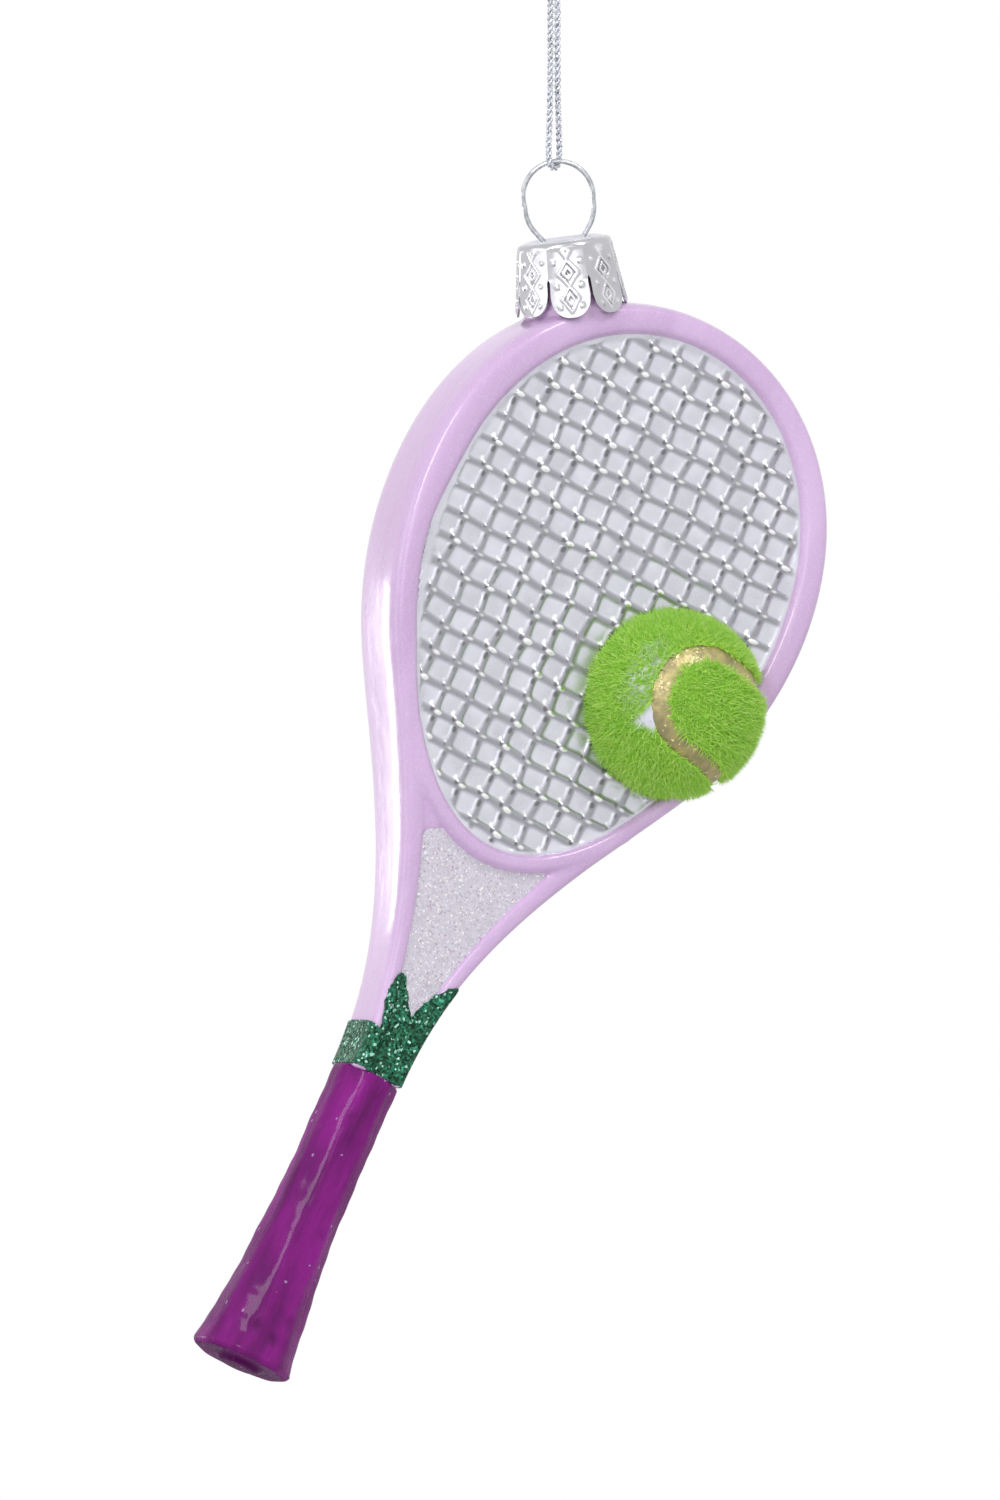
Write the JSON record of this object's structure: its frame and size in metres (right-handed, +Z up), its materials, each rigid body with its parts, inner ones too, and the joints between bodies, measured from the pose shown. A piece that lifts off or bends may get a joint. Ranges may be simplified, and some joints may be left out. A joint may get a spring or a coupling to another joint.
{
  "type": "hanging tennis racket ornament",
  "caption": "Blown-glass tennis racket ornament with a flocked ball on its strings, a stamped crown cap, a wire loop and a hanging cord.",
  "frame": {"origin": "the point of the cord's loop that rests on the hook, straight above the wire loop", "axes": "+Z up as it hangs, -Y the way the racket's face and ball look, +X to the right of a viewer in front"},
  "size_m": [0.0748, 0.0209, 0.1697],
  "materials": {
    "silver_cord": "twisted metallic thread",
    "loop_wire": "bright drawn wire",
    "cap_metal": "bright stamped sheet",
    "silvered_glass": "blown glass silvered inside, pearly outside",
    "lavender_lacquer": "pearly lavender lacquer",
    "pale_glitter": "fine pale glitter",
    "green_glitter": "dark green glitter",
    "purple_lacquer": "glossy purple lacquer",
    "green_flock": "short lime green flock",
    "gold_paint": "gold glitter paint"
  },
  "bodies": {
    "cord": {"hanging_cord": "silver_cord", "cord_knot": "silver_cord"},
    "loop": {"wire_loop": "loop_wire"},
    "cap": {"ornament_cap": "cap_metal"},
    "racket": {"glass_shell": "silvered_glass", "frame_lacquer": "lavender_lacquer", "throat_glitter_front": "pale_glitter", "throat_glitter_back": "pale_glitter", "leaf_collar": "green_glitter", "grip_lacquer": "purple_lacquer", "ball_flock": "green_flock", "ball_flock_lobe": "green_flock", "ball_seam": "gold_paint"}
  },
  "joints": [
    {"name": "ring_swing", "type": "hinge", "parent": "cord", "child": "loop", "pos_m": [0, 0, -0.02656], "axis": [0.9025, -0.4131, 0.122], "range_deg": [-45, 45]},
    {"name": "loop_rock", "type": "hinge", "parent": "loop", "child": "cap", "pos_m": [0.00118, 0, -0.03531], "axis": [0.9025, -0.4131, 0.122], "range_deg": [-5, 5]},
    {"name": "cap_pull", "type": "slide", "parent": "cap", "child": "racket", "axis": [0.134, 0, -0.991], "range_m": [0, 0.014]}
  ]
}
